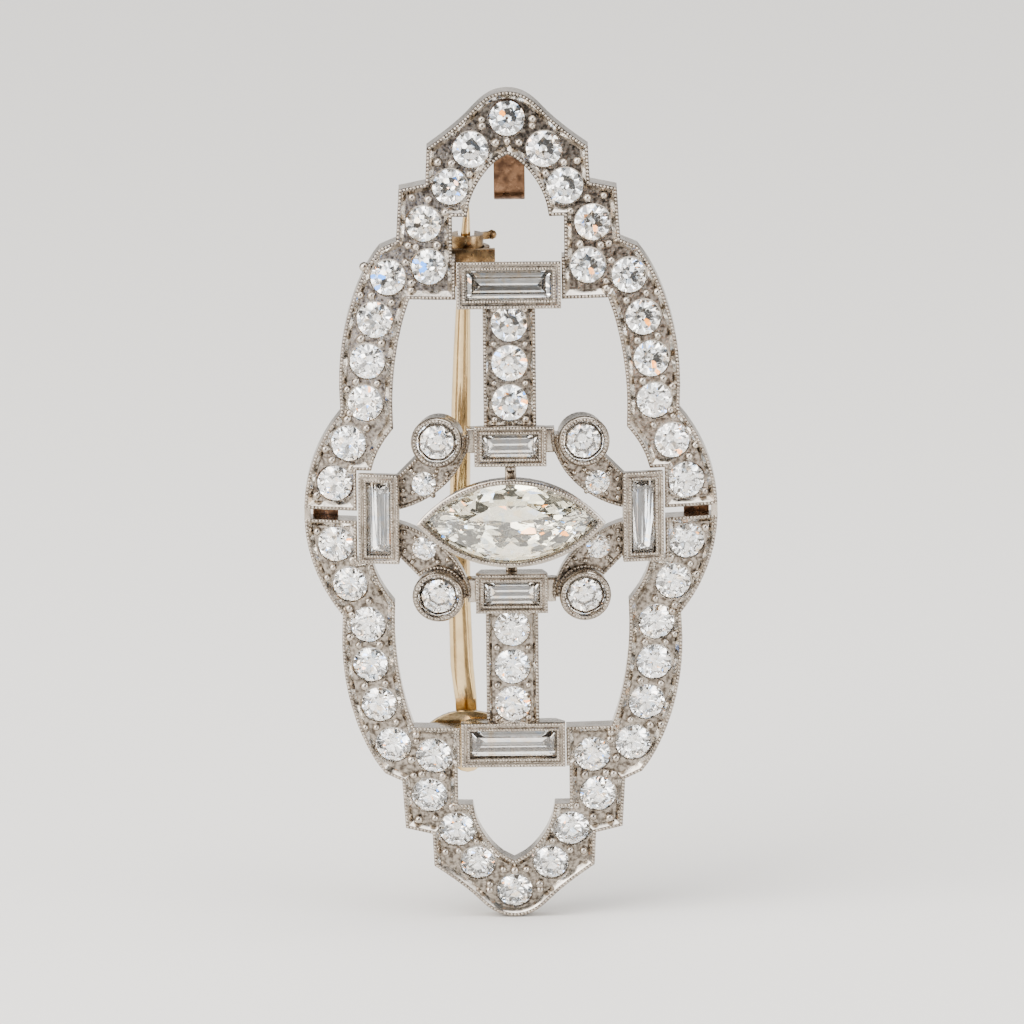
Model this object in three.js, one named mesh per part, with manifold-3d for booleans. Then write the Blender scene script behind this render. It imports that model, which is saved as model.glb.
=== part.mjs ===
// Openwork pendant brooch in the Art Deco manner, upright as worn, in millimetres.
// +Z points to the bail end, the stones face -Y, and the cloth lies behind at +Y.
// The origin is on the plane of the cloth, behind the centre of the marquise stone.
import * as THREE from 'three';
import { mergeVertices } from 'three/addons/utils/BufferGeometryUtils.js';
import Module from 'manifold-3d';

const wasm = await Module();
wasm.setup();

// ---------------------------------------------------------------- driving dimensions
const HALF_HEIGHT = 25; // centre to either tip of the frame
const HALF_WIDTH = 12.2; // centre to the widest point of a side lobe
const DOME_RISE = 3.2; // how far the middle of the plate stands in front of its tips
const SIDE_FALL = 1.7; // how far the plate falls back again at SIDE_SPAN from the middle
const SIDE_SPAN = 12.5;
const PLATE = 1.3; // thickness of the pierced plate
const GAP = 0.05; // room between two pieces that are soldered or set together

const SEAT = { front: 1.14, back: 0.5 }; // radii of the tapered seat bored for each bead-set stone
const POST_STONE = { radius: 1.07, proud: 0.35 };
const POST_STONES = [6.83, 9.17, 11.5]; // heights of the stones down one post
const POST_WIDTH = 3.1;

const LARGE_BOX = { length: 6.15, width: 2.77, proud: 0.6, depth: 2.2, stone: [5.0, 1.8], z: 13.92 };
const SMALL_BOX = { length: 4.25, width: 2.37, proud: 0.9, depth: 2.3, stone: [3.05, 1.5], z: 4.45 };
const SIDE_BOX = { length: 2.42, width: 5.38, proud: 0.8, depth: 2.3, stone: [1.45, 4.3], x: 7.83 };

const MARQUISE = { length: 10.05, width: 4.67, wall: 0.55, proud: 1.6, rim: 1.35, foot: 1.6 };
const MARQUISE_FOOT = { halfLength: 4.9, halfWidth: 2.15, wall: 0.4 };
const ROUND_BEZEL = { x: 4.36, z: 4.67, outer: 1.53, stone: 1.13, proud: 0.9, depth: 2.1 };
const LEAF_STONE = { x: 5.12, z: 1.95, radius: 0.62, seat: 0.5 };
const LEAF_THICKNESS = 1.0;

const PIN = { x: -2.72, y: 0.55, hingeZ: -14.1, tipZ: 18.0, radius: 0.52, knuckle: 0.78, knuckleWidth: 1.3 };
const RIVET_RADIUS = 0.3;
const EAR = { thickness: 0.45, halfHeight: 0.95, top: 1.35 };

const CATCH = { x: -2.48, z: 14.45, y: 0.55, shell: 1.4, bore: 1.08, height: 1.7, slot: 1.06 };
const ROTOR = { outer: 1.02, inner: 0.58, height: 2.45, leverAngle: 30, leverReach: 1.75 };

const BAIL = { z: 22.9, y: 1.1, width: 1.83, half: 0.85, strap: 0.35, drop: 4.05, x: 0.1 };
const BAIL_PIN_RADIUS = 0.42;

const PLATINUM = 0xaaa098;
const GOLD = 0xc8aa78;
const RED_GOLD = 0x9a6f50;
const DIAMOND = 0xf2f2ee;
const TINTED_DIAMOND = 0xefecd6;

const ENDS = [['upper', 1], ['lower', -1]];
const SIDES = [['left', -1], ['right', 1]];

// ---------------------------------------------------------------- shared geometry
// How far the back of the plate stands in front of the cloth at a place in plan.
function dome(x, z) {
  return DOME_RISE * (1 - (z / HALF_HEIGHT) ** 2) - SIDE_FALL * (x / SIDE_SPAN) ** 2;
}

function frontOfPlate(x, z) {
  return -PLATE - dome(x, z);
}

// A group whose own -Y points straight out of the domed plate, its origin `proud` above it.
function seatOn(x, z, proud) {
  const seat = new THREE.Group();
  seat.position.set(x, frontOfPlate(x, z) - proud, z);
  seat.rotation.x = -Math.atan(2 * DOME_RISE * z / HALF_HEIGHT ** 2);
  seat.rotation.z = Math.atan(2 * SIDE_FALL * x / SIDE_SPAN ** 2);
  return seat;
}

// A plan drawn in X and Z, given thickness from y = front to y = front + depth.
function slab(plan, front, depth, curveSegments = 6) {
  const body = new THREE.ExtrudeGeometry(plan, { depth, bevelEnabled: false, curveSegments });
  body.rotateX(Math.PI / 2);
  body.translate(0, front + depth, 0);
  return body;
}

function block(x, y, z, at = [0, 0, 0]) {
  return new THREE.BoxGeometry(x, y, z).translate(...at);
}

// A round bar along X, Y or Z.
function bar(radius, length, axis, at = [0, 0, 0], sides = 16) {
  const body = new THREE.CylinderGeometry(radius, radius, length, sides);
  if (axis === 'x') body.rotateZ(Math.PI / 2);
  if (axis === 'z') body.rotateX(Math.PI / 2);
  return body.translate(...at);
}

function solid(geometry) {
  const bare = geometry.index ? geometry.toNonIndexed() : geometry.clone();
  bare.deleteAttribute('normal');
  bare.deleteAttribute('uv');
  const merged = mergeVertices(bare, 1e-4);
  return new wasm.Manifold(new wasm.Mesh({
    numProp: 3,
    vertProperties: new Float32Array(merged.attributes.position.array),
    triVerts: new Uint32Array(merged.index.array),
  }));
}

function surface(body) {
  const mesh = body.getMesh();
  const geometry = new THREE.BufferGeometry();
  geometry.setAttribute('position', new THREE.BufferAttribute(new Float32Array(mesh.vertProperties), 3));
  geometry.setIndex(new THREE.BufferAttribute(new Uint32Array(mesh.triVerts), 1));
  return geometry;
}

function join(...geometries) {
  return surface(geometries.map(solid).reduce((whole, piece) => whole.add(piece)));
}

function cut(geometry, ...tools) {
  return surface(tools.map(solid).reduce((whole, tool) => whole.subtract(tool), solid(geometry)));
}

// Bends a flat piece onto the dome: every point keeps its place in plan and moves along Y.
function layOnDome(geometry) {
  const place = geometry.attributes.position;
  for (let i = 0; i < place.count; i += 1) {
    place.setY(i, place.getY(i) - dome(place.getX(i), place.getZ(i)));
  }
  return geometry;
}

// The room that a tilted setting needs in the pieces beside it.
function roomAt(room, x, z, proud) {
  const seat = seatOn(x, z, proud);
  seat.updateMatrix();
  return room.applyMatrix4(seat.matrix);
}

function roomFor({ length, width, depth, proud }, x, z) {
  const room = block(length + 2 * GAP, depth + 1, width + 2 * GAP, [0, depth / 2, 0]);
  return roomAt(room, x, z, proud);
}

// ---------------------------------------------------------------- finishes and placing
const brooch = new THREE.Group();

function piece(name, geometry, color, parent = brooch) {
  const gem = color === DIAMOND || color === TINTED_DIAMOND;
  const material = new THREE.MeshStandardMaterial({
    color,
    metalness: gem ? 0 : 1,
    roughness: gem ? 0.02 : 0.3,
  });
  const mesh = new THREE.Mesh(geometry, material);
  mesh.name = name;
  parent.add(mesh);
}

function seated(x, z, proud) {
  const seat = seatOn(x, z, proud);
  brooch.add(seat);
  return seat;
}

// ---------------------------------------------------------------- stones
// Table at y = 0, girdle below it, culet deepest. Plan radius 1 before it is scaled.
function cutStone(sides, crown, pavilion, start = 0) {
  const profile = [
    new THREE.Vector2(0, 0),
    new THREE.Vector2(0.55, 0),
    new THREE.Vector2(1, crown),
    new THREE.Vector2(1, crown + 0.06),
    new THREE.Vector2(0, crown + pavilion),
  ];
  return new THREE.LatheGeometry(profile, sides, start);
}

function roundStone(radius) {
  return cutStone(8, 0.36 * radius, 0.9 * radius).scale(radius, 1, radius);
}

function baguette([length, width]) {
  const stone = cutStone(4, 0.28, 0.75, Math.PI / 4);
  return stone.scale(length / Math.SQRT2, 1, width / Math.SQRT2);
}

// Distance from the centre to a two-arc marquise outline, in the direction of angle.
function marquiseReach(halfLength, halfWidth, angle) {
  const arc = (halfLength ** 2 + halfWidth ** 2) / (2 * halfWidth);
  const rise = arc - halfWidth;
  const up = Math.abs(Math.sin(angle));
  return -rise * up + Math.sqrt((rise * up) ** 2 + arc ** 2 - rise ** 2);
}

function marquiseStone() {
  const stone = cutStone(20, 0.6, 1.3);
  const place = stone.attributes.position;
  for (let i = 0; i < place.count; i += 1) {
    const x = place.getX(i);
    const z = place.getZ(i);
    const reach = marquiseReach(MARQUISE.length / 2, MARQUISE.width / 2, Math.atan2(z, x));
    place.setX(i, x * reach);
    place.setZ(i, z * reach);
  }
  return stone;
}

// ---------------------------------------------------------------- pierced frame
const LOBE_CENTRE = 2.59; // the side lobes are arcs about a point this far from the middle
const WAIST = new THREE.Vector2(9.99, 6.13); // notch above and below each lobe
const SLOT_HALF = 0.3; // half height of the slot beside each side box
const RIM = 0.4; // metal left outside that slot

// Right-hand side of the outer edge, from mid height up to the tip.
function outerEdge() {
  const edge = new THREE.Path();
  const seam = GAP / 2;
  const lobe = HALF_WIDTH - LOBE_CENTRE;
  const notch = Math.atan2(WAIST.y, WAIST.x - LOBE_CENTRE);
  edge.absarc(LOBE_CENTRE, 0, lobe, Math.asin(seam / lobe), notch, false);
  edge.lineTo(10.05, 7.6);
  edge.bezierCurveTo(10.1, 11.2, 8.85, 14.4, 7.6, 15.9);
  edge.lineTo(6.6, 16.35);
  edge.lineTo(6.42, 19.35);
  edge.lineTo(4.84, 19.7);
  edge.lineTo(4.75, 21.75);
  edge.bezierCurveTo(3.6, 22.55, 2.85, 23.15, 2.3, 23.7);
  edge.bezierCurveTo(1.75, 24.25, 1.15, HALF_HEIGHT, 0, HALF_HEIGHT);
  return edge.getPoints(6);
}

// Right-hand side of the openings, from the tip of the arch down to mid height.
function innerEdge() {
  const edge = new THREE.Path();
  const boxSide = LARGE_BOX.length / 2 + GAP;
  const lobeSide = SIDE_BOX.x + SIDE_BOX.length / 2 + GAP;
  const lobeTop = SIDE_BOX.width / 2 + GAP;
  edge.moveTo(0, 21.4);
  edge.bezierCurveTo(0.9, 21.1, 2.25, 19.6, 2.42, 17.8);
  edge.lineTo(3.3, 17.8);
  edge.lineTo(3.3, 15.4);
  edge.lineTo(boxSide, 15.4);
  edge.lineTo(boxSide, 12.96);
  edge.lineTo(5.85, 12.96);
  edge.bezierCurveTo(6.62, 10.9, 7, 8.2, 6.91, 5.95);
  edge.lineTo(6.89, 5.3);
  edge.bezierCurveTo(7.55, 4.5, 8, 3.7, 8.22, lobeTop);
  edge.lineTo(lobeSide, lobeTop);
  edge.lineTo(lobeSide, SLOT_HALF);
  edge.lineTo(HALF_WIDTH - RIM, SLOT_HALF);
  edge.lineTo(HALF_WIDTH - RIM, GAP / 2);
  return edge.getPoints(5);
}

// Where the bead-set stones sit in one quarter of the frame, from the tip to mid height.
const FRAME_STONES = [
  [2.16, 21.6], [3.39, 19.46], [4.98, 17.3], [4.68, 14.8], [7.1, 14.14],
  [7.91, 11.64], [8.38, 9.18], [8.52, 6.7], [9.54, 4.26], [10.37, 1.84],
];
const TIP_STONE = [0, 23.4];

// Bores a tapered, open-backed seat at each place in a flat plate.
function drilled(plate, places) {
  const seats = places.map(([x, z]) => {
    const seat = new THREE.CylinderGeometry(SEAT.back, SEAT.front, PLATE + 2 * GAP, 8);
    return seat.translate(x, -PLATE / 2, z);
  });
  return cut(plate, ...seats);
}

function halfFrame(end) {
  const outer = outerEdge();
  const inner = innerEdge();
  const mirrored = (points) => points.map((p) => new THREE.Vector2(-p.x, p.y)).reverse();
  const ring = [...outer, ...mirrored(outer).slice(1), ...mirrored(inner), ...inner.slice(1)];
  const plan = new THREE.Shape(ring.map((p) => new THREE.Vector2(p.x, end * p.y)));
  const seats = [[TIP_STONE[0], end * TIP_STONE[1]]];
  for (const [x, z] of FRAME_STONES) {
    seats.push([x, end * z], [-x, end * z]);
  }
  const plate = layOnDome(drilled(slab(plan, -PLATE, PLATE), seats));
  const rooms = SIDES.map(([, side]) => roomFor(SIDE_BOX, side * SIDE_BOX.x, 0));
  return cut(plate, ...rooms, roomFor(LARGE_BOX, 0, end * LARGE_BOX.z));
}

for (const [end, sign] of ENDS) {
  piece(`${end}_frame`, halfFrame(sign), PLATINUM);
}

// Gold straps behind the side slots, joining the two halves of the frame.
for (const [side, sign] of SIDES) {
  const strap = layOnDome(block(1.5, 0.5, 3.2, [sign * 10.95, 0.25 + GAP, 0]));
  piece(`${side}_joint_strap`, strap, RED_GOLD);
}

// ---------------------------------------------------------------- posts
function post(end) {
  const top = LARGE_BOX.z - LARGE_BOX.width / 2;
  const bottom = SMALL_BOX.z + SMALL_BOX.width / 2 - 2 * GAP;
  const plan = new THREE.Shape();
  const steps = 4;
  plan.moveTo(POST_WIDTH / 2, end * bottom);
  for (let i = 1; i <= steps; i += 1) {
    plan.lineTo(POST_WIDTH / 2, end * (bottom + (top - bottom) * i / steps));
  }
  for (let i = steps; i >= 0; i -= 1) {
    plan.lineTo(-POST_WIDTH / 2, end * (bottom + (top - bottom) * i / steps));
  }
  const plate = layOnDome(drilled(slab(plan, -PLATE, PLATE), POST_STONES.map((z) => [0, end * z])));
  return cut(plate, roomFor(LARGE_BOX, 0, end * LARGE_BOX.z), roomFor(SMALL_BOX, 0, end * SMALL_BOX.z));
}

for (const [end, sign] of ENDS) {
  piece(`${end}_post`, post(sign), PLATINUM);
  POST_STONES.forEach((z, i) => {
    const seat = seated(0, sign * z, POST_STONE.proud);
    piece(`${end}_post_stone_${i + 1}`, roundStone(POST_STONE.radius), DIAMOND, seat);
  });
}

// ---------------------------------------------------------------- baguette boxes
// An open-backed box: the stone drops in from the front and rests on a ledge.
function box({ length, width, depth, stone }) {
  const ledge = 0.5;
  const pocket = block(stone[0] + 2 * GAP, 1.2, stone[1] + 2 * GAP, [0, 0.5, 0]);
  const opening = block(stone[0] - ledge, depth + 1, stone[1] - ledge, [0, depth / 2, 0]);
  return cut(block(length, depth, width, [0, depth / 2, 0]), pocket, opening);
}

function boxSetting(name, size, x, z) {
  const seat = seated(x, z, size.proud);
  piece(`${name}_box`, box(size), PLATINUM, seat);
  piece(`${name}_baguette`, baguette(size.stone).translate(0, 0.12, 0), DIAMOND, seat);
}

for (const [end, sign] of ENDS) {
  boxSetting(`${end}_large`, LARGE_BOX, 0, sign * LARGE_BOX.z);
  boxSetting(`${end}_small`, SMALL_BOX, 0, sign * SMALL_BOX.z);
}
for (const [side, sign] of SIDES) {
  boxSetting(`${side}_side`, SIDE_BOX, sign * SIDE_BOX.x, 0);
}

// ---------------------------------------------------------------- marquise centre
function marquisePlan(halfLength, halfWidth) {
  const arc = (halfLength ** 2 + halfWidth ** 2) / (2 * halfWidth);
  const sweep = Math.asin(halfLength / arc);
  const plan = new THREE.Shape();
  plan.absarc(0, halfWidth - arc, arc, Math.PI / 2 - sweep, Math.PI / 2 + sweep, false);
  plan.absarc(0, arc - halfWidth, arc, -Math.PI / 2 - sweep, -Math.PI / 2 + sweep, false);
  return plan;
}

// A rim round the stone and a narrower foot below it, both open through the middle.
function marquiseBezel() {
  const { length, width, wall, rim, foot } = MARQUISE;
  const { halfLength, halfWidth, wall: footWall } = MARQUISE_FOOT;
  const steps = 9;
  const outer = slab(marquisePlan(length / 2 + wall, width / 2 + 0.6 * wall), 0, rim, steps);
  const base = slab(marquisePlan(halfLength, halfWidth), rim - GAP, foot + GAP, steps);
  const pocket = slab(marquisePlan(length / 2 + GAP, width / 2 + GAP), -GAP, rim - 0.1, steps);
  const opening = slab(marquisePlan(halfLength - 1.5 * footWall, halfWidth - footWall), 0.5, rim + foot, steps);
  return cut(join(outer, base), pocket, opening);
}

const centre = seated(0, 0, MARQUISE.proud);
piece('marquise_bezel', marquiseBezel(), PLATINUM, centre);
piece('marquise_diamond', marquiseStone().scale(0.99, 1, 0.99).translate(0, 0.1, 0), TINTED_DIAMOND, centre);

// Short bars that tie the marquise to the small boxes above and below it.
for (const [end, sign] of ENDS) {
  const near = MARQUISE_FOOT.halfWidth + 3 * GAP;
  const far = SMALL_BOX.z - SMALL_BOX.width / 2 + GAP;
  const link = layOnDome(block(0.67, 0.75, far - near, [0, 0.5 - PLATE, sign * (near + far) / 2]));
  piece(`${end}_link`, cut(link, roomFor(SMALL_BOX, 0, sign * SMALL_BOX.z)), PLATINUM);
}

// ---------------------------------------------------------------- round bezels and leaves
function roundBezel() {
  const { outer, stone, depth } = ROUND_BEZEL;
  const profile = [
    [outer, 0], [outer, depth], [0.7, depth], [0.7, 0.75], [stone + GAP, 0.55], [stone + GAP, 0], [outer, 0],
  ];
  return new THREE.LatheGeometry(profile.map(([r, y]) => new THREE.Vector2(r, y)), 16);
}

// Comma-shaped plate: it hugs a round bezel and runs down to the side box.
function leafPlan(across, up) {
  const { x, z, outer } = ROUND_BEZEL;
  const hug = outer - 0.3;
  const band = outer + 0.41;
  const inner = SIDE_BOX.x - SIDE_BOX.length / 2;
  const at = (angle, radius) => [x + radius * Math.cos(angle), z + radius * Math.sin(angle)];
  const edge = new THREE.Path();
  edge.moveTo(inner, 2.35);
  edge.lineTo(...at(-0.75, hug));
  edge.absarc(x, z, hug, -0.75, -Math.PI - 0.15, true);
  edge.lineTo(...at(-Math.PI - 0.15, band));
  edge.absarc(x, z, band, -Math.PI - 0.15, -Math.PI + 0.55, false);
  edge.bezierCurveTo(3.1, 2.6, 4.3, 1.0, inner, 0.38);
  return new THREE.Shape(edge.getPoints(5).map((p) => new THREE.Vector2(across * p.x, up * p.y)));
}

function leaf(across, up) {
  const plate = slab(leafPlan(across, up), 0.15 - PLATE, LEAF_THICKNESS);
  const { x, z, seat } = LEAF_STONE;
  const hole = new THREE.CylinderGeometry(seat / 2, LEAF_STONE.radius + GAP, PLATE, 8);
  const bored = layOnDome(cut(plate, hole.translate(across * x, 0.05 - PLATE / 2, up * z)));
  const bezel = ROUND_BEZEL;
  const tube = bar(bezel.outer + 2 * GAP, bezel.depth + 1, 'y', [0, bezel.depth / 2, 0]);
  return cut(
    bored,
    roomAt(tube, across * bezel.x, up * bezel.z, bezel.proud),
    roomFor(SIDE_BOX, across * SIDE_BOX.x, 0),
    roomFor(SMALL_BOX, 0, up * SMALL_BOX.z),
  );
}

for (const [end, up] of ENDS) {
  for (const [side, across] of SIDES) {
    const name = `${end}_${side}`;
    const bezel = seated(across * ROUND_BEZEL.x, up * ROUND_BEZEL.z, ROUND_BEZEL.proud);
    piece(`${name}_round_bezel`, roundBezel(), PLATINUM, bezel);
    piece(`${name}_round_diamond`, roundStone(ROUND_BEZEL.stone).scale(1, 0.9, 1), DIAMOND, bezel);
    piece(`${name}_leaf`, leaf(across, up), PLATINUM);
    const bed = seated(across * LEAF_STONE.x, up * LEAF_STONE.z, 0.1);
    piece(`${name}_leaf_diamond`, roundStone(LEAF_STONE.radius).scale(1, 0.9, 1), DIAMOND, bed);
  }
}

// ---------------------------------------------------------------- pin stem and its hinge
// The stem bows a little to the side between its hinge and the catch.
function bow(z) {
  const along = (z - PIN.hingeZ) / (PIN.tipZ - PIN.hingeZ);
  return 0.32 * along - 1.5 * along * (1 - along);
}

function pinStem() {
  const length = PIN.tipZ - PIN.hingeZ;
  const profile = [[0, 0], [0.48, 0], [0.5, 1.6], [PIN.radius, 4], [PIN.radius, 12], [0.5, 20]];
  profile.push([0.42, 25], [0.28, 29], [0.12, 31.4], [0, length]);
  const wire = new THREE.LatheGeometry(profile.map(([r, y]) => new THREE.Vector2(r, y)), 10);
  wire.rotateX(Math.PI / 2);
  wire.translate(0, 0, PIN.hingeZ);
  const knuckle = bar(PIN.knuckle, PIN.knuckleWidth, 'x', [0, 0, PIN.hingeZ]);
  const heel = block(PIN.knuckleWidth, 0.8, 2.1, [0, 0, PIN.hingeZ + 1.05]);
  const eye = bar(RIVET_RADIUS + GAP, 3, 'x', [0, 0, PIN.hingeZ]);
  const stem = cut(join(wire, knuckle, heel), eye);
  const place = stem.attributes.position;
  for (let i = 0; i < place.count; i += 1) {
    place.setX(i, place.getX(i) + PIN.x + bow(place.getZ(i)));
    place.setY(i, place.getY(i) + PIN.y);
  }
  return stem;
}

// A shield-shaped plate soldered behind the lower box, with two ears that hold the rivet.
function hingePlate() {
  const back = -dome(PIN.x, PIN.hingeZ) + 0.45;
  const plan = new THREE.Shape();
  plan.moveTo(0, -16.1);
  plan.bezierCurveTo(0.9, -16.1, 1, -15, 2.68, -13.6);
  plan.bezierCurveTo(1.9, -12.7, 1, -12.4, 0, -12.4);
  plan.bezierCurveTo(-1, -12.4, -1.9, -12.7, -2.68, -13.6);
  plan.bezierCurveTo(-1, -15, -0.9, -16.1, 0, -16.1);
  const base = slab(plan, back, 0.45);
  const ears = SIDES.map(([, sign]) => {
    const x = sign * (PIN.knuckleWidth / 2 + GAP + EAR.thickness / 2);
    const height = EAR.top - back - 0.2;
    const wall = block(EAR.thickness, height, 2 * EAR.halfHeight, [x, EAR.top - height / 2, PIN.hingeZ]);
    return cut(wall, bar(RIVET_RADIUS + GAP, 4, 'x', [0, PIN.y, PIN.hingeZ]));
  });
  return join(base, ...ears).translate(PIN.x, 0, 0);
}

function rivet() {
  const reach = PIN.knuckleWidth / 2 + 2 * GAP + EAR.thickness;
  const shank = bar(RIVET_RADIUS, 2 * reach + 0.3, 'x');
  const heads = SIDES.map(([, sign]) => bar(0.5, 0.2, 'x', [sign * (reach + 0.1), 0, 0]));
  return join(shank, ...heads).translate(PIN.x, PIN.y, PIN.hingeZ);
}

piece('pin_stem', pinStem(), GOLD);
piece('hinge_plate', hingePlate(), GOLD);
piece('hinge_rivet', rivet(), GOLD);

// ---------------------------------------------------------------- safety catch
// A tube with a slot towards the cloth, on a foot soldered behind the upper box.
function slottedTube(outer, inner, slot, height) {
  const tube = cut(bar(outer, height, 'z', [0, 0, 0], 24), bar(inner, height + 1, 'z', [0, 0, 0], 24));
  return cut(tube, block(slot, 2 * outer, height + 1, [0, outer, 0]));
}

function catchShell() {
  const { x, y, z, shell, bore, height, slot } = CATCH;
  const back = -dome(x, z) + 0.5;
  const foot = block(3.4, 0.45, 2.2, [0, back + 0.22 - y, 0]);
  const neck = block(1.5, y - back - bore, height, [0, (back - y - bore) / 2, 0]);
  return join(slottedTube(shell, bore, slot, height), neck, foot).translate(x, y, z);
}

// The inner sleeve turns about the pin to close the slot, moved by a small tab.
function catchRotor() {
  const { outer, inner, height, leverAngle, leverReach } = ROTOR;
  const rise = CATCH.z + height / 2 - CATCH.height / 2;
  const top = height / 2 - 0.25;
  const tab = block(leverReach - 0.8, 0.3, 0.42, [(leverReach + 0.8) / 2, 0, top]);
  const grip = new THREE.SphereGeometry(0.3, 8, 6).translate(leverReach, 0, top);
  const lever = join(tab, grip).rotateZ(leverAngle * Math.PI / 180);
  const sleeve = slottedTube(outer, inner, CATCH.slot - 0.1, height);
  return join(sleeve, lever).translate(CATCH.x, CATCH.y, rise);
}

piece('catch_shell', catchShell(), GOLD);
piece('catch_rotor', catchRotor(), GOLD);

// ---------------------------------------------------------------- folding bail
// Two lugs on a plate behind the tip, a pivot bar, and a long ring that hangs from it.
function bailBracket() {
  const seat = -dome(0, BAIL.z);
  const plate = block(3.4, 0.4, 1.5, [0, seat + 0.4, 0]);
  const lugs = SIDES.map(([, sign]) => {
    const x = sign * (BAIL.width / 2 + 0.32);
    const height = BAIL.y + 0.75 - seat - 0.4;
    const lug = block(0.42, height, 1.3, [x, seat + 0.4 + height / 2, 0]);
    return cut(lug, bar(BAIL_PIN_RADIUS + GAP, 6, 'x', [0, BAIL.y, 0]));
  });
  return join(plate, ...lugs).translate(BAIL.x, 0, BAIL.z);
}

function bailRing() {
  const plan = (radius) => {
    const loop = new THREE.Shape();
    loop.absarc(0, 0, radius, 0, Math.PI, false);
    loop.absarc(0, -BAIL.drop, radius, Math.PI, 2 * Math.PI, false);
    return loop;
  };
  const ring = plan(BAIL.half);
  ring.holes.push(plan(BAIL.half - BAIL.strap));
  const strap = new THREE.ExtrudeGeometry(ring, { depth: BAIL.width, bevelEnabled: false, curveSegments: 10 });
  strap.translate(0, 0, -BAIL.width / 2);
  strap.rotateX(Math.PI / 2);
  strap.rotateZ(Math.PI / 2);
  return strap.translate(BAIL.x, BAIL.y, BAIL.z);
}

piece('bail_bracket', bailBracket(), RED_GOLD);
piece('bail_pivot', bar(BAIL_PIN_RADIUS, 3.2, 'x', [BAIL.x, BAIL.y, BAIL.z]), RED_GOLD);
piece('bail_ring', bailRing(), RED_GOLD);

export default brooch;
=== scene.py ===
import math
import random

import bmesh
import bpy
from mathutils import Matrix, Vector


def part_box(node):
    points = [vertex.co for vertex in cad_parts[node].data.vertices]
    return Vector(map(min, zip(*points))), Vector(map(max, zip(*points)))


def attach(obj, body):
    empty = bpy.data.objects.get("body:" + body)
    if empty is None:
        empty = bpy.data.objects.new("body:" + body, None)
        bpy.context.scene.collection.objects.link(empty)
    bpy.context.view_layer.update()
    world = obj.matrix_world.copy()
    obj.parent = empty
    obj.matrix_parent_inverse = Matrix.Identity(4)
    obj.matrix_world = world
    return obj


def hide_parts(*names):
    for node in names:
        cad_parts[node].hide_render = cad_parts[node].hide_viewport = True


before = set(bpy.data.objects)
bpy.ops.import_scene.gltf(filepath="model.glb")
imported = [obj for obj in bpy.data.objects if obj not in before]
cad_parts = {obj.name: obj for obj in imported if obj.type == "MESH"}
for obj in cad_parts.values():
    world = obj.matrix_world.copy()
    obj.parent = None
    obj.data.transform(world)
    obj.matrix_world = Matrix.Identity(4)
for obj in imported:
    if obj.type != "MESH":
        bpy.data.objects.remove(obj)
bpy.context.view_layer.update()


# ---------------------------------------------------------------- pierced frame
# The ground of the brooch: a domed platinum plate in two halves, sawn through, with a raised rim
# on every edge. A bright-cut wall slopes from the rim down to the bed, and a tapered seat goes
# through the bed for each stone. It is drawn here in millimetres and set down in metres.
HALF_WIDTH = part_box("upper_frame")[1].x * 1000
HALF_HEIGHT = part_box("upper_frame")[1].z * 1000
DOME_RISE, SIDE_FALL, SIDE_SPAN = 3.2, 1.7, 12.5
PLATE = 1.3
RIM_WIDTH, WALL_WIDTH, BED_DROP = 0.2, 0.26, 0.3
LOBE_CENTRE = 2.59
SLOT_HALF = 0.3
SEAT_RADIUS, SEAT_BACK = 1.12, 0.55
SHARP_CORNER = 25
ENDS = (("upper", 1), ("lower", -1))
SIDES = (("left", -1), ("right", 1))


def dome(x, z):
    return DOME_RISE * (1 - (z / HALF_HEIGHT) ** 2) - SIDE_FALL * (x / SIDE_SPAN) ** 2


def stand_on_dome(x, z, proud):
    """Where a setting stands: its own -Y points straight out of the domed plate."""
    up = Matrix.Rotation(-math.atan(2 * DOME_RISE * z / HALF_HEIGHT**2), 4, "X")
    across = Matrix.Rotation(math.atan(2 * SIDE_FALL * x / SIDE_SPAN**2), 4, "Z")
    return Matrix.Translation((x, -PLATE - dome(x, z) - proud, z)) @ up @ across


def bezier(start, a, b, end, steps):
    """Points along a Bezier curve, without its start."""
    points = []
    for i in range(1, steps + 1):
        t = i / steps
        weights = ((1 - t) ** 3, 3 * t * (1 - t) ** 2, 3 * t * t * (1 - t), t**3)
        points.append(tuple(sum(w * p[k] for w, p in zip(weights, (start, a, b, end))) for k in (0, 1)))
    return points


def arc(centre, radius, start, end, steps):
    """Points along an arc of a circle, both ends included."""
    angles = [start + (end - start) * i / steps for i in range(steps + 1)]
    return [(centre[0] + radius * math.cos(a), centre[1] + radius * math.sin(a)) for a in angles]


def outer_edge():
    """Right-hand outer edge, from the side slot up to the tip."""
    lobe = HALF_WIDTH - LOBE_CENTRE
    lobe_from, lobe_to = math.asin(SLOT_HALF / lobe), math.atan2(6.13, 9.99 - LOBE_CENTRE)
    edge = arc((LOBE_CENTRE, 0), lobe, lobe_from, lobe_to, 24)
    edge.append((10.05, 7.6))
    edge += bezier((10.05, 7.6), (10.1, 11.2), (8.85, 14.4), (7.6, 15.9), 22)
    edge += [(6.6, 16.35), (6.42, 19.35), (4.84, 19.7), (4.75, 21.75)]
    edge += bezier((4.75, 21.75), (3.6, 22.55), (2.85, 23.15), (2.3, 23.7), 10)
    edge += bezier((2.3, 23.7), (1.75, 24.25), (1.15, HALF_HEIGHT), (0, HALF_HEIGHT), 10)
    return edge


def arch_edge():
    """Right-hand edge of the arch opening, from its tip down to the box below it."""
    edge = [(0, 21.4)] + bezier((0, 21.4), (0.9, 21.1), (2.25, 19.6), (2.42, 17.8), 14)
    return edge + [(3.3, 17.8), (3.3, 15.4)]


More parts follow.
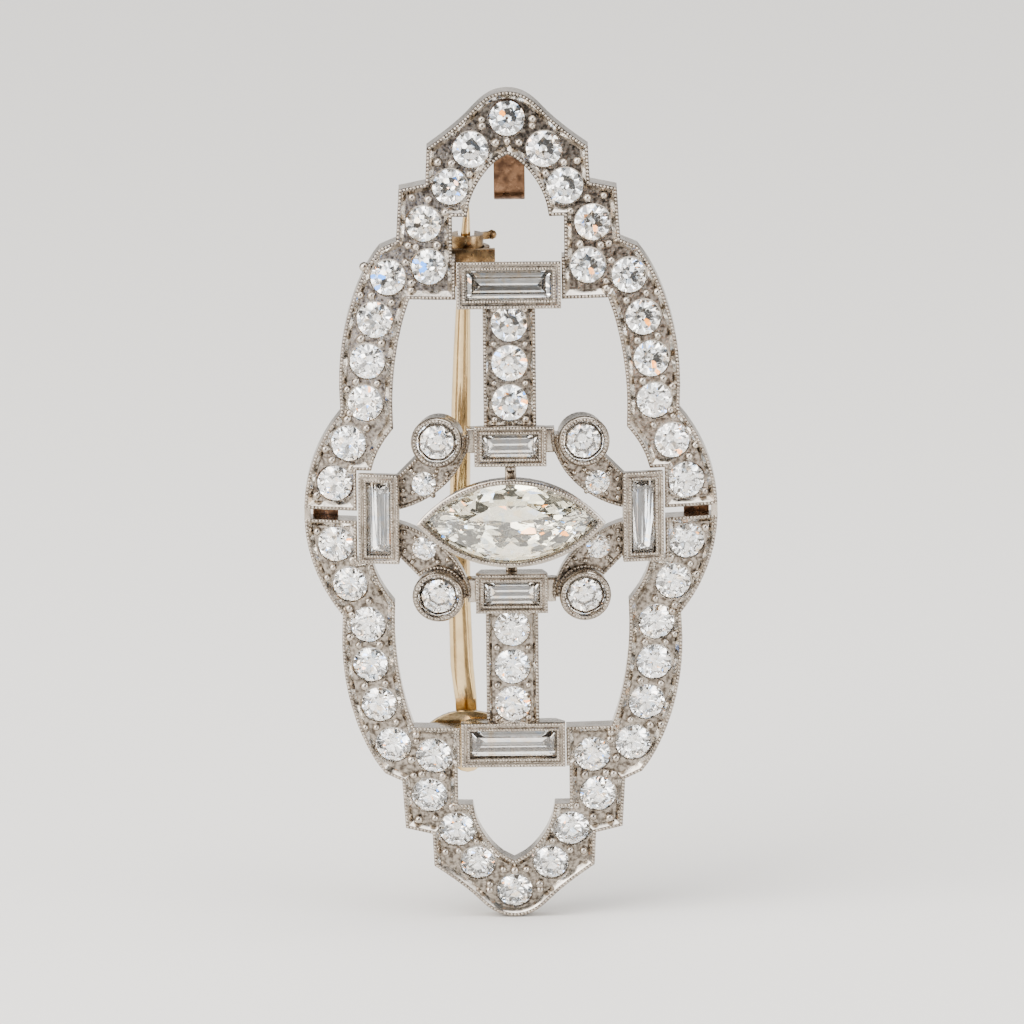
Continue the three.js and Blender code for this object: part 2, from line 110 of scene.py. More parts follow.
def window_edge():
    """Right-hand edge of the window opening, from the large box down to the side box."""
    edge = [(3.13, 12.96), (5.85, 12.96)]
    edge += bezier((5.85, 12.96), (6.62, 10.9), (7, 8.2), (6.91, 5.95), 16)
    edge += [(6.89, 5.3)] + bezier((6.89, 5.3), (7.55, 4.5), (8, 3.7), (8.22, 2.74), 8)
    return edge


def mirrored(edge):
    return [(-x, z) for x, z in reversed(edge)]


def half_outline():
    """Outline of the upper half: round the outside, then back round its openings."""
    outer = outer_edge()
    inner = arch_edge() + [(3.13, 15.4)] + window_edge() + [(9.09, 2.74), (9.09, SLOT_HALF)]
    return outer + mirrored(outer)[1:] + mirrored(inner) + inner[1:]


FRAME_STONES = (
    (2.16, 21.6), (3.39, 19.46), (4.98, 17.3), (4.68, 14.8), (7.1, 14.14),
    (7.91, 11.64), (8.38, 9.18), (8.52, 6.7), (9.54, 4.26), (10.37, 1.84),
)
TIP_STONE = (0, 23.4)


def new_piece(name, data):
    piece = bpy.data.objects.new(name, data)
    bpy.context.collection.objects.link(piece)
    return piece


def pick(piece):
    """Makes the piece the only one selected."""
    bpy.ops.object.select_all(action="DESELECT")
    bpy.context.view_layer.objects.active = piece
    piece.select_set(True)


def primitive(add, **settings):
    """Adds a primitive solid, with its place and size baked into its mesh."""
    bpy.ops.object.select_all(action="DESELECT")
    add(**settings)
    bpy.ops.object.transform_apply(location=True, rotation=True, scale=True)
    return bpy.context.object


def new_sheet(name, outline, y=0.0):
    """A single face with the given outline in plan, in edit mode and selected."""
    mesh = bpy.data.meshes.new(name)
    mesh.from_pydata([(x, y, z) for x, z in outline], [], [range(len(outline))])
    sheet = new_piece(name, mesh)
    pick(sheet)
    bpy.ops.object.mode_set(mode="EDIT")
    bpy.ops.mesh.select_mode(type="FACE")
    bpy.ops.mesh.select_all(action="SELECT")
    return sheet


def pick_face(side):
    """Selects the one face furthest out along Y, in front with side -1 or behind with side 1."""
    shape = bmesh.from_edit_mesh(bpy.context.object.data)
    bpy.ops.mesh.select_all(action="DESELECT")
    flat = [f for f in shape.faces if abs(f.normal.y) > 0.9]
    furthest = max(flat, key=lambda f: (round(side * f.calc_center_median().y, 5), -f.calc_area()))
    furthest.select_set(True)
    shape.faces.active = furthest
    bmesh.update_edit_mesh(bpy.context.object.data)


def extrude(along_y):
    bpy.ops.mesh.extrude_region_move(TRANSFORM_OT_translate={"value": (0, along_y, 0)})


def resize_in_plan(across, up):
    """Scales what is selected in plan, about the middle of the piece."""
    bpy.ops.transform.resize(value=(across, 1, up), center_override=(0, 0, 0))


def inset_steps(steps):
    """Insets the selected face step by step, each by a thickness and with a rise or a fall."""
    for thickness, rise in steps:
        bpy.ops.mesh.inset(thickness=thickness, depth=rise, use_even_offset=True)


def raise_plate(thickness):
    """Extrudes the sheet towards the front and leaves its front face selected."""
    extrude(-thickness)
    bpy.ops.mesh.select_all(action="SELECT")
    bpy.ops.mesh.normals_make_consistent(inside=False)
    pick_face(-1)


def done_editing(piece):
    """Leaves edit mode with clean outward normals."""
    bpy.ops.mesh.select_all(action="SELECT")
    bpy.ops.mesh.normals_make_consistent(inside=False)
    bpy.ops.object.mode_set(mode="OBJECT")


def grid_cut(x_reach, z_low, z_high):
    """Cuts the shape at every millimetre in plan, so that it bends smoothly onto the dome."""
    for z in range(math.ceil(z_low), math.floor(z_high) + 1):
        bpy.ops.mesh.select_all(action="SELECT")
        bpy.ops.mesh.bisect(plane_co=(0, 0, z), plane_no=(0, 0, 1))
    reach = math.floor(x_reach)
    for x in range(-reach, reach + 1):
        bpy.ops.mesh.select_all(action="SELECT")
        bpy.ops.mesh.bisect(plane_co=(x, 0, 0), plane_no=(1, 0, 0))


def lay_on_dome(piece):
    for vertex in piece.data.vertices:
        vertex.co.y -= dome(vertex.co.x, vertex.co.z)


def apply_modifiers(piece):
    pick(piece)
    for modifier in list(piece.modifiers):
        bpy.ops.object.modifier_apply(modifier=modifier.name)


def bore_seats(piece, places, radius=SEAT_RADIUS, back=SEAT_BACK, bed=PLATE - BED_DROP):
    """Bores a tapered seat, open behind, at each place in a flat plate."""
    cutters = []
    for x, z in places:
        cutter = primitive(
            bpy.ops.mesh.primitive_cone_add,
            vertices=28, radius1=back * 0.9, radius2=radius, depth=bed + 0.2,
            location=(x, 0.1 - bed / 2, z), rotation=(math.pi / 2, 0, 0),
        )
        bpy.ops.object.mode_set(mode="EDIT")
        pick_face(-1)
        extrude(-1.0)
        bpy.ops.object.mode_set(mode="OBJECT")
        cutters.append(cutter)
    pick(cutters[0])
    for cutter in cutters:
        cutter.select_set(True)
    if len(cutters) > 1:
        bpy.ops.object.join()
    cutter = bpy.context.object
    bore = piece.modifiers.new("seats", "BOOLEAN")
    bore.operation, bore.solver, bore.object = "DIFFERENCE", "EXACT", cutter
    apply_modifiers(piece)
    bpy.data.objects.remove(cutter)


def shader_group(name, takes, gives):
    """A shader group with its sockets, and the place on the piece in millimetres to feed it."""
    group = bpy.data.node_groups.new(name, "ShaderNodeTree")
    for socket, value in takes:
        kind = "NodeSocketColor" if isinstance(value, tuple) else "NodeSocketFloat"
        group.interface.new_socket(socket, in_out="INPUT", socket_type=kind).default_value = value
    for socket, kind in gives:
        group.interface.new_socket(socket, in_out="OUTPUT", socket_type=kind)
    add = group.nodes.new
    place, per_mm = add("ShaderNodeTexCoord"), add("ShaderNodeMapping")
    per_mm.inputs["Scale"].default_value = (1000, 1000, 1000)
    group.links.new(place.outputs["Object"], per_mm.inputs["Vector"])
    return group, add("NodeGroupInput").outputs, add("NodeGroupOutput").inputs, per_mm.outputs["Vector"]


def metal_group():
    """Shader group for worked metal: patina in patches, rubbed roughness and a fine tool grain."""
    group, given, result, millimetres = shader_group(
        "worked_metal",
        (
            ("Clean", (0.7, 0.7, 0.7, 1)), ("Patina", (0.3, 0.3, 0.3, 1)), ("Patina Amount", 0.4),
            ("Patina Scale", 1.3), ("Smooth", 0.2), ("Rough", 0.4), ("Grain Scale", 9.0),
            ("Grain Depth", 0.2),
        ),
        (("Color", "NodeSocketColor"), ("Roughness", "NodeSocketFloat"), ("Normal", "NodeSocketVector")),
    )
    add, link = group.nodes.new, group.links.new
    cloud, grain = add("ShaderNodeTexNoise"), add("ShaderNodeTexNoise")
    cloud.inputs["Detail"].default_value = 5
    grain.inputs["Detail"].default_value = 6
    link(millimetres, cloud.inputs["Vector"])
    link(millimetres, grain.inputs["Vector"])
    link(given["Patina Scale"], cloud.inputs["Scale"])
    link(given["Grain Scale"], grain.inputs["Scale"])
    spread = add("ShaderNodeMapRange")
    spread.inputs["From Min"].default_value, spread.inputs["From Max"].default_value = 0.4, 0.64
    link(cloud.outputs["Fac"], spread.inputs["Value"])
    amount = add("ShaderNodeMath")
    amount.operation = "MULTIPLY"
    link(spread.outputs["Result"], amount.inputs[0])
    link(given["Patina Amount"], amount.inputs[1])
    blend = add("ShaderNodeMix")
    blend.data_type = "RGBA"
    link(amount.outputs["Value"], blend.inputs["Factor"])
    link(given["Clean"], blend.inputs["A"])
    link(given["Patina"], blend.inputs["B"])
    polish = add("ShaderNodeMapRange")
    polish.inputs["From Min"].default_value, polish.inputs["From Max"].default_value = 0.3, 0.7
    link(grain.outputs["Fac"], polish.inputs["Value"])
    link(given["Smooth"], polish.inputs["To Min"])
    link(given["Rough"], polish.inputs["To Max"])
    bump = add("ShaderNodeBump")
    bump.inputs["Distance"].default_value = 0.00003
    link(grain.outputs["Fac"], bump.inputs["Height"])
    link(given["Grain Depth"], bump.inputs["Strength"])
    link(blend.outputs["Result"], result["Color"])
    link(polish.outputs["Result"], result["Roughness"])
    link(bump.outputs["Normal"], result["Normal"])
    return group


WORKED_METAL = metal_group()


def material_from(name, group, values):
    """A material whose Principled shader is fed by a shader group; gives back its shader too."""
    material = bpy.data.materials.new(name)
    material.use_nodes = True
    nodes, links = material.node_tree.nodes, material.node_tree.links
    shader, source = nodes["Principled BSDF"], nodes.new("ShaderNodeGroup")
    source.node_tree = group
    for socket, value in values.items():
        source.inputs[socket].default_value = (*value, 1) if isinstance(value, tuple) else value
    for output in source.outputs:
        links.new(output, shader.inputs["Base Color" if output.name == "Color" else output.name])
    return material, shader


def metal(name, clean, patina, amount, smooth, rough, grain_scale, grain_depth, patches=1.3):
    material, shader = material_from(name, WORKED_METAL, {
        "Clean": clean, "Patina": patina, "Patina Amount": amount, "Patina Scale": patches,
        "Smooth": smooth, "Rough": rough, "Grain Scale": grain_scale, "Grain Depth": grain_depth,
    })
    shader.inputs["Metallic"].default_value = 1.0
    return material


PLATINUM = metal("platinum_polished", (0.55, 0.5, 0.44), (0.24, 0.205, 0.17), 0.5, 0.16, 0.34, 7, 0.12)
PLATINUM_BED = metal(
    "platinum_engraved_bed", (0.44, 0.395, 0.345), (0.09, 0.075, 0.06), 0.9, 0.18, 0.42, 6.0, 1.0, 4.2,
)
BRIGHT_CUT = metal("platinum_bright_cut", (0.6, 0.555, 0.5), (0.32, 0.285, 0.245), 0.4, 0.08, 0.2, 5, 0.08)


def finish_piece(piece, finish, body="setting", stands_for=()):
    """Millimetres become metres, and the piece takes its finish and its place in the frame."""
    piece.data.transform(Matrix.Scale(0.001, 4))
    if not piece.data.materials:
        piece.data.materials.append(finish)
    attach(piece, body)
    if stands_for:
        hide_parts(*stands_for)


def smooth_sides(piece, degrees=28):
    pick(piece)
    bpy.ops.object.shade_smooth_by_angle(angle=math.radians(degrees))


def finish_plate(piece, front, bed):
    """Engraved finish on the bed and under the beads of the rim, bright cut on the wall between."""
    for finish in (PLATINUM, PLATINUM_BED, BRIGHT_CUT):
        piece.data.materials.append(finish)
    for face in piece.data.polygons:
        y = sum(piece.data.vertices[v].co.y for v in face.vertices) / len(face.vertices)
        if face.normal.y < -0.9 and min(abs(y + bed), abs(y + front)) < 0.02:
            face.material_index = 1
        elif -front < y < -bed and face.normal.y < -0.3:
            face.material_index = 2


def darken_front(piece):
    """Engraved finish on the flats of a setting, so that its beads stand out from them."""
    for finish in (PLATINUM, PLATINUM_BED):
        piece.data.materials.append(finish)
    for face in piece.data.polygons:
        if face.normal.y < -0.95:
            face.material_index = 1


def clear_corners(ring, reach=0.5):
    """Drops the points close to a sharp corner, so that an inset edge can't fold over itself there."""
    def turn(i):
        before, here, after = (Vector(ring[k % len(ring)]) for k in (i - 1, i, i + 1))
        return math.degrees((here - before).angle(after - here))
    corners = [Vector(ring[i]) for i in range(len(ring)) if turn(i) > SHARP_CORNER]
    return [p for p in ring if Vector(p) in corners or all((Vector(p) - c).length > reach for c in corners)]


def frame_half(end, sign):
    piece = new_sheet(f"{end}_frame_plate", [(x, sign * z) for x, z in clear_corners(half_outline())])
    raise_plate(PLATE)
    inset_steps(((RIM_WIDTH, 0), (WALL_WIDTH, -BED_DROP)))
    done_editing(piece)
    places = [(TIP_STONE[0], sign * TIP_STONE[1])]
    places += [(side * x, sign * z) for _, side in SIDES for x, z in FRAME_STONES]
    bore_seats(piece, places)
    finish_plate(piece, PLATE, PLATE - BED_DROP)
    bpy.ops.object.mode_set(mode="EDIT")
    low, high = sorted((sign * SLOT_HALF, sign * HALF_HEIGHT))
    grid_cut(HALF_WIDTH, low, high)
    done_editing(piece)
    lay_on_dome(piece)
    smooth_sides(piece)
    finish_piece(piece, PLATINUM, stands_for=[f"{end}_frame"])


for end, sign in ENDS:
    frame_half(end, sign)


# ---------------------------------------------------------------- rims across the side slots
# The outer rim runs on past the slot beside each side box, as a thin strip of the same platinum
# that ties the two halves together. It is filed square behind and rounded in front.
def slot_rim(side, sign):
    lobe = HALF_WIDTH - LOBE_CENTRE
    reach = math.asin((SLOT_HALF + 0.1) / lobe)
    outside = arc((LOBE_CENTRE, 0), lobe - 0.01, -reach, reach, 6)
    inside = arc((LOBE_CENTRE, 0), lobe - 0.38, reach, -reach, 6)
    strip = new_sheet(f"{side}_slot_rim", [(sign * x, z) for x, z in outside + inside])
    raise_plate(PLATE - 0.02)
    inset_steps(((0.06, 0.05),))
    done_editing(strip)
    lay_on_dome(strip)
    smooth_sides(strip)
    finish_piece(strip, PLATINUM)


for side, sign in SIDES:
    slot_rim(side, sign)


# ---------------------------------------------------------------- millegrain of the frame
# The rim is rolled with a milgrain wheel, which leaves a row of tiny beads along every edge.
# One bead is shaped once, and copied along the middle of the rim.
BEAD_RADIUS, BEAD_PITCH = 0.1, 0.21


def shape_bead(around, rings):
    """One bead of radius 1, cut flat behind, as its points and faces."""
    bead = primitive(
        bpy.ops.mesh.primitive_uv_sphere_add,
        segments=around, ring_count=rings, rotation=(math.pi / 2, 0, 0),
    )
    bpy.ops.object.mode_set(mode="EDIT")
    bpy.ops.mesh.select_all(action="SELECT")
    bpy.ops.mesh.bisect(plane_co=(0, 0.35, 0), plane_no=(0, 1, 0), use_fill=True, clear_outer=True)
    done_editing(bead)
    shape = [v.co.copy() for v in bead.data.vertices], [tuple(f.vertices) for f in bead.data.polygons]
    bpy.data.objects.remove(bead)
    return shape


SMALL_BEAD = shape_bead(7, 6)
GRAIN = shape_bead(12, 8)


def strew(name, shape, places, finish):
    """Copies one shape to every place, given as (point, size), in one mesh of its own."""
    points, faces = shape
    spots, sides = [], []
    for here, size in places:
        first = len(spots)
        spots += [here + p * size for p in points]
        sides += [tuple(first + i for i in face) for face in faces]
    mesh = bpy.data.meshes.new(name)
    mesh.from_pydata(spots, [], sides)
    piece = new_piece(name, mesh)
    smooth_sides(piece, 60)
    finish_piece(piece, finish)


def inset_path(ring, gap):
    """A closed outline in plan, moved inwards by gap."""
    area = sum(a[0] * b[1] - b[0] * a[1] for a, b in zip(ring, ring[1:] + ring[:1]))
    inwards = 1 if area > 0 else -1
    moved = []
    for i, corner in enumerate(ring):
        here, before, after = Vector(corner), Vector(ring[i - 1]), Vector(ring[(i + 1) % len(ring)])
        coming, going = (here - before).normalized(), (after - here).normalized()
        across = Vector((-(coming + going).y, (coming + going).x)).normalized() * inwards
        square = Vector((-going.y, going.x)) * inwards
        moved.append(tuple(here + across * gap / max(0.5, across.dot(square))))
    return moved


def spaced(path, pitch, closed=True):
    """Points at an even pitch along a path in plan."""
    corners = [Vector(p) for p in path]
    if closed:
        corners.append(corners[0])
    lengths = [(b - a).length for a, b in zip(corners, corners[1:])]
    count = max(2, round(sum(lengths) / pitch))
    points, leg, done = [], 0, 0.0
    for i in range(count if closed else count + 1):
        target = sum(lengths) * i / count
        while leg < len(lengths) - 1 and done + lengths[leg] < target:
            done += lengths[leg]
            leg += 1
        share = min(1, (target - done) / max(lengths[leg], 1e-9))
        points.append(corners[leg].lerp(corners[leg + 1], share))
    return points


def on_dome(x, z, lift=0.0):
    return Vector((x, -PLATE - lift - dome(x, z), z))


def rim_beads(name, outline, front=PLATE, inset=RIM_WIDTH / 2):
    path = spaced(inset_path(outline, inset), BEAD_PITCH)
    places = [(on_dome(p.x, p.y, front - PLATE - 0.01), BEAD_RADIUS) for p in path]
    strew(name, SMALL_BEAD, places, PLATINUM)


for end, sign in ENDS:
    rim_beads(f"{end}_frame_millegrain", [(x, sign * z) for x, z in half_outline()])


# ---------------------------------------------------------------- stones of the frame
# Old-cut diamonds of about two millimetres, each dropped into its seat and held by grains that
# are raised from the bed and pushed over its edge. One stone is ground facet by facet.
STONE_RADIUS = 1.06
GIRDLE_BELOW_BED = 0.06
chance = random.Random(11)


def painted_fire_group():
    """Shader group for a cut stone: painted fire, faint flashes of coloured light (amber and blue) and
    dimmer cream patches painted into its colour in cells, which change from facet to facet.
    """
    group, given, result, millimetres = shader_group(
        "stone_painted_fire",
        (("Body", (1, 1, 1, 1)), ("Painted Fire", 0.1), ("Cell Size", 0.5)),
        (("Color", "NodeSocketColor"),),
    )
    add, link = group.nodes.new, group.links.new
    cells, channels = add("ShaderNodeTexVoronoi"), add("ShaderNodeSeparateColor")
    link(millimetres, cells.inputs["Vector"])
    link(given["Cell Size"], cells.inputs["Scale"])
    link(cells.outputs["Color"], channels.inputs["Color"])
    shown = given["Body"]
    # Painted fire: each channel of the cells picks some of them for an amber flash, a blue flash or a
    # dimmer cream patch, painted over the body colour.
    for channel, above, painted_flash in (
        ("Red", 0.91, (1.0, 0.6, 0.22, 1)), ("Green", 0.91, (0.35, 0.62, 1.0, 1)),
        ("Blue", 0.6, (0.8, 0.78, 0.72, 1)),
    ):
        chosen, strength, blend = add("ShaderNodeMath"), add("ShaderNodeMath"), add("ShaderNodeMix")
        chosen.operation, strength.operation = "GREATER_THAN", "MULTIPLY"
        chosen.inputs[1].default_value = above
        blend.data_type = "RGBA"
        blend.inputs["B"].default_value = painted_flash
        link(channels.outputs[channel], chosen.inputs[0])
        link(chosen.outputs["Value"], strength.inputs[0])
        link(given["Painted Fire"], strength.inputs[1])
        link(strength.outputs["Value"], blend.inputs["Factor"])
        link(shown, blend.inputs["A"])
        shown = blend.outputs["Result"]
    link(shown, result["Color"])
    return group


STONE_PAINTED_FIRE = painted_fire_group()


def gem(name, body, painted_fire, cells):
    material, shader = material_from(name, STONE_PAINTED_FIRE, {"Body": body, "Painted Fire": painted_fire, "Cell Size": cells})
    shader.inputs["Roughness"].default_value = 0.0
    shader.inputs["IOR"].default_value = 2.42
    shader.inputs["Transmission Weight"].default_value = 1.0
    return material


# Besides their own body colour, the stones carry painted fire, coloured flashes of light painted into their
# colour.
DIAMOND = gem("old_cut_diamond", (1, 1, 0.995), 0.6, 3.2)
TINTED_DIAMOND = gem("faint_yellow_diamond", (1, 0.965, 0.78), 0.45, 2.2)


def grind(point, direction, slope, crown=True):
    """Grinds one flat facet through a point, leaning out towards a direction in plan."""
    lean = math.radians(slope)
    forwards = -math.cos(lean) if crown else math.cos(lean)
    normal = (math.sin(lean) * math.cos(direction), forwards, math.sin(lean) * math.sin(direction))
    bpy.ops.mesh.select_all(action="SELECT")
    bpy.ops.mesh.bisect(plane_co=point, plane_no=normal, use_fill=True, clear_outer=True)


def polished(rough):
    """Ends the grinding and gives the stone back as a mesh to be copied."""
    bpy.ops.mesh.select_all(action="SELECT")
    bpy.ops.mesh.remove_doubles(threshold=1e-4)
    done_editing(rough)
    mesh = rough.data
    bpy.data.objects.remove(rough)
    return mesh


def round_old_cut():
    """Radius 1, girdle at y = 0, table in front and culet behind."""
    rough = primitive(
        bpy.ops.mesh.primitive_cylinder_add,
        vertices=32, radius=1, depth=1.4, location=(0, 0.3, 0), rotation=(math.pi / 2, 0, 0),
    )
    bpy.ops.object.mode_set(mode="EDIT")
    grind((0, -0.345, 0), 0, 0)
    grind((0, 0.83, 0), 0, 0, crown=False)
    edge = 0.02
    for k in range(8):
        main, between = k * math.pi / 4, (k + 0.5) * math.pi / 4
        grind((math.cos(main), -edge, math.sin(main)), main, 36)
        grind((math.cos(main), edge, math.sin(main)), main, 41.5, crown=False)
        grind((0.52 * math.cos(between), -0.345, 0.52 * math.sin(between)), between, 21)
    for k in range(16):
        half = (k + 0.5) * math.pi / 8
        grind((math.cos(half), -edge, math.sin(half)), half, 39.5)
        grind((math.cos(half), edge, math.sin(half)), half, 43, crown=False)
    return polished(rough)


ROUND_CUT = round_old_cut()


def set_stone(name, cut, size, place, finish=DIAMOND, wobble=2.5, stands_for=()):
    """A stone of its own, scaled, turned a little in its seat and set in place."""
    tilt = Matrix.Rotation(math.radians(chance.uniform(-wobble, wobble)), 4, "X")
    tilt = tilt @ Matrix.Rotation(math.radians(chance.uniform(-wobble, wobble)), 4, "Z")
    spin = Matrix.Rotation(chance.uniform(0, math.pi / 4) if wobble > 1 else 0, 4, "Y")
    mesh = cut.copy()
    mesh.name = name
    mesh.transform(place @ tilt @ spin @ Matrix.Diagonal((*size, 1)))
    stone = new_piece(name, mesh)
    finish_piece(stone, finish, stands_for=stands_for)


def stones_of(sign):
    """The stones of one half of the frame, in order from the left lobe over the tip."""
    right = [(x, sign * z) for x, z in FRAME_STONES]
    left = [(-x, z) for x, z in reversed(right)]
    return left + [(0, sign * TIP_STONE[1])] + right


for end, sign in ENDS:
    for i, (x, z) in enumerate(stones_of(sign), 1):
        radius = STONE_RADIUS * chance.uniform(0.965, 1.0)
        seat = stand_on_dome(x, z, -GIRDLE_BELOW_BED - BED_DROP)
        set_stone(f"{end}_frame_stone_{i:02d}", ROUND_CUT, (radius,) * 3, seat)


# ---------------------------------------------------------------- grains of the frame
# Beads of platinum raised from the bed with a graver, two between each pair of stones and more
# where a corner leaves metal over.
GRAIN_RADIUS, GRAIN_GAP = 0.25, 0.62
CORNER_GRAINS = (
    (0.0, 22.1), (1.5, 23.35), (4.1, 20.9), (5.65, 18.85), (5.9, 16.05), (4.2, 16.05), (5.75, 13.45),
    (8.75, 13.1), (9.6, 7.5), (9.45, 6.1), (10.9, 3.9), (9.4, 2.75), (11.45, 1.1),
)


def grains_between(stones):
    places = []
    for a, b in zip(stones, stones[1:]):
        a, b = Vector(a), Vector(b)
        if (b - a).length > 3.2:
            continue
        across = Vector((-(b - a).y, (b - a).x)).normalized()
        for side in (-1, 1):
            places.append((a + b) / 2 + across * side * GRAIN_GAP)
    return places


def raise_grains(name, places, lift=BED_DROP, size=GRAIN_RADIUS):
    spots = []
    for p in places:
        radius = size * chance.uniform(0.85, 1.1)
        spots.append((on_dome(p[0], p[1], -lift + 0.08), radius))
    strew(name, GRAIN, spots, PLATINUM)


strew("shoulder_nub", GRAIN, [(Vector((-8.5, -2.1, 14.7)), 0.3)], PLATINUM)
for end, sign in ENDS:
    extra = [(side * x, sign * z) for _, side in SIDES for x, z in CORNER_GRAINS]
    raise_grains(f"{end}_frame_grains", grains_between(stones_of(sign)) + extra)


# ---------------------------------------------------------------- posts and their stones
# An upright bar of the same plate above and below the middle, with three stones in a row. Its
# ends run into the boxes, and its long edges are milgrained like the frame.
POST_HALF, POST_FROM, POST_TO = 1.55, 5.4, 12.75
POST_STONES = (6.83, 9.17, 11.5)
POST_RADIUS, POST_BORE, POST_SEAT = 1.05, 1.11, 0.27
POST_RIM, POST_WALL, POST_BED = 0.19, 0.16, 0.24


def post(end, sign):
    outline = [(POST_HALF, POST_FROM), (POST_HALF, POST_TO), (-POST_HALF, POST_TO), (-POST_HALF, POST_FROM)]
    piece = new_sheet(f"{end}_post_plate", [(x, sign * z) for x, z in outline])
    raise_plate(PLATE)
    inset_steps(((POST_RIM, 0), (POST_WALL, -POST_BED)))
    done_editing(piece)
    bore_seats(piece, [(0, sign * z) for z in POST_STONES], radius=POST_BORE, bed=PLATE - POST_BED)
    finish_plate(piece, PLATE, PLATE - POST_BED)
    bpy.ops.object.mode_set(mode="EDIT")
    low, high = sorted((sign * POST_FROM, sign * POST_TO))
    grid_cut(POST_HALF, low, high)
    done_editing(piece)
    lay_on_dome(piece)
    smooth_sides(piece)
    finish_piece(piece, PLATINUM, stands_for=[f"{end}_post"])
    edges = [[(side * (POST_HALF - 0.1), sign * z) for z in (POST_FROM, POST_TO)] for side in (-1, 1)]
    beads = [p for edge in edges for p in spaced(edge, BEAD_PITCH, closed=False)]
    strew(f"{end}_post_millegrain", SMALL_BEAD, [(on_dome(p.x, p.y), BEAD_RADIUS) for p in beads], PLATINUM)
    for i, z in enumerate(POST_STONES, 1):
        seat = stand_on_dome(0, sign * z, -POST_SEAT)
        name = f"{end}_post_stone_{i}"
        set_stone(f"{name}_cut", ROUND_CUT, (POST_RADIUS,) * 3, seat, stands_for=[name])
    middle = [(side * 0.92, sign * z) for side in (-1, 1) for z in (5.86, 8.0, 10.33, 12.35)]
    raise_grains(f"{end}_post_grains", middle, lift=POST_BED, size=0.2)


for end, sign in ENDS:
    post(end, sign)


# ---------------------------------------------------------------- baguette boxes
# Open-backed boxes of platinum strip that narrow towards the back: a milgrained outer rim, a
# groove, and a second milgrained edge burnished over the step-cut stone.
LARGE_BOX = {"length": 6.15, "width": 2.77, "proud": 0.6, "depth": 2.2, "wall": 0.5, "taper": 0.52}
SMALL_BOX = {"length": 4.25, "width": 2.37, "proud": 0.9, "depth": 2.3, "wall": 0.46, "taper": 0.3}
SIDE_BOX = {"length": 2.42, "width": 5.38, "proud": 0.8, "depth": 2.3, "wall": 0.49, "taper": 0.42}
LARGE_BOX_Z, SMALL_BOX_Z, SIDE_BOX_X = 13.92, 4.45, 7.83
BOX_STRAIGHT, BOX_RIM, BOX_EDGE, GROOVE_SIDE = 0.42, 0.17, 0.16, 0.04
# Crown and back steps of a cut: how far in as a share of the half width, how high, how steep.
EVEN_STEPS = (((0, 0.02, 47), (0.14, 0.14, 30)), ((0, 0.02, 54), (0.2, 0.26, 44), (0.55, 0.56, 38)))
STEEP_STEPS = (((0, 0.02, 40), (0.16, 0.13, 24)), ((0, 0.02, 60), (0.16, 0.26, 50), (0.5, 0.6, 40)))
SIDE_SWAY = ((4, 4, 4), (6, 6, 6))


def rectangle(length, width):
    a, b = length / 2, width / 2
    return [(a, -b), (a, b), (-a, b), (-a, -b)]


def open_back(margin):
    """Insets the back face and joins it through to the pocket in front."""
    pick_face(1)
    inset_steps(((margin, 0),))
    shape = bmesh.from_edit_mesh(bpy.context.object.data)
    for face in shape.faces:
        middle = face.calc_center_median()
        face.select_set(abs(face.normal.y) > 0.9 and math.hypot(middle.x, middle.z) < 0.01)
    bmesh.update_edit_mesh(bpy.context.object.data)
    bpy.ops.mesh.bridge_edge_loops()


def round_edges(piece, width, segments=2, degrees=32):
    soften = piece.modifiers.new("worn", "BEVEL")
    soften.width, soften.segments = width, segments
    soften.limit_method, soften.angle_limit = "ANGLE", math.radians(degrees)
    apply_modifiers(piece)


def bead_path(outline, inset, place, y, pitch, radius):
    """Bead places along an outline in a setting's own plane."""
    return [(place @ Vector((p.x, y, p.y)), radius) for p in spaced(inset_path(outline, inset), pitch)]


def set_box(name, size, x, z, steps, sway=(0, 0, 0)):
    length, width, wall, depth, narrower = (size[k] for k in ("length", "width", "wall", "depth", "taper"))
    outline = rectangle(length, width)
    piece = new_sheet(f"{name}_box_walls", outline, y=BOX_STRAIGHT)
    raise_plate(BOX_STRAIGHT)
    pick_face(1)
    extrude(depth - BOX_STRAIGHT)
    resize_in_plan(1 - 2 * narrower / length, 1 - 2 * narrower / width)
    pick_face(-1)
    groove = wall - BOX_RIM - BOX_EDGE - 2 * GROOVE_SIDE
    inset_steps((
        (BOX_RIM, 0), (GROOVE_SIDE, -0.12), (groove, 0), (GROOVE_SIDE, 0.07), (BOX_EDGE, 0),
        (0.02, -0.5), (0.2, 0),
    ))
    open_back(max(wall + 0.24 - narrower, 0.14))
    done_editing(piece)
    round_edges(piece, 0.03)
    smooth_sides(piece)
    darken_front(piece)
    place = stand_on_dome(x, z, size["proud"])
    piece.data.transform(place)
    finish_piece(piece, PLATINUM, stands_for=[f"{name}_box"])
    rows = bead_path(outline, 0.085, place, 0.01, 0.19, 0.088)
    rows += bead_path(outline, wall - 0.08, place, 0.06, 0.17, 0.08)
    strew(f"{name}_box_millegrain", SMALL_BEAD, rows, PLATINUM)
    stone = (length / 2 - wall + 0.03, width / 2 - wall + 0.03)
    set_stone(
        f"{name}_baguette_cut", baguette(*stone, steps, sway), (1, 1, 1),
        place @ Matrix.Translation((0, 0.34, 0)), wobble=0.6, stands_for=[f"{name}_baguette"],
    )


